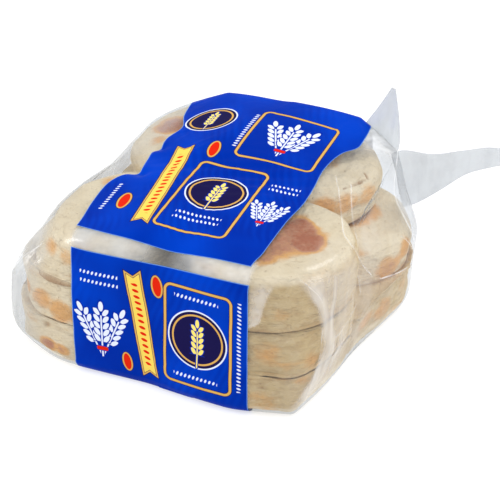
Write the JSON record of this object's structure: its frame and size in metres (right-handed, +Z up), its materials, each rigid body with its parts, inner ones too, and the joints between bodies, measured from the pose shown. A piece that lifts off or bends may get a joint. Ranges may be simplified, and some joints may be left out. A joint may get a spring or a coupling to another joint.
{
  "type": "bagged english muffins",
  "caption": "Shut clear film bag of English muffins in four stacks, with a printed band and the film's loose end flared at one corner.",
  "frame": {"origin": "under the middle of the pack, on its flat underside", "axes": "+X along the bag to its flared loose end, +Y from the printed front to the back, +Z up"},
  "size_m": [0.2681, 0.196, 0.133],
  "materials": {
    "film": "gloss",
    "print": "gloss",
    "bread": "matte"
  },
  "bodies": {
    "root": {"muffin_bag": "film"}
  },
  "joints": []
}
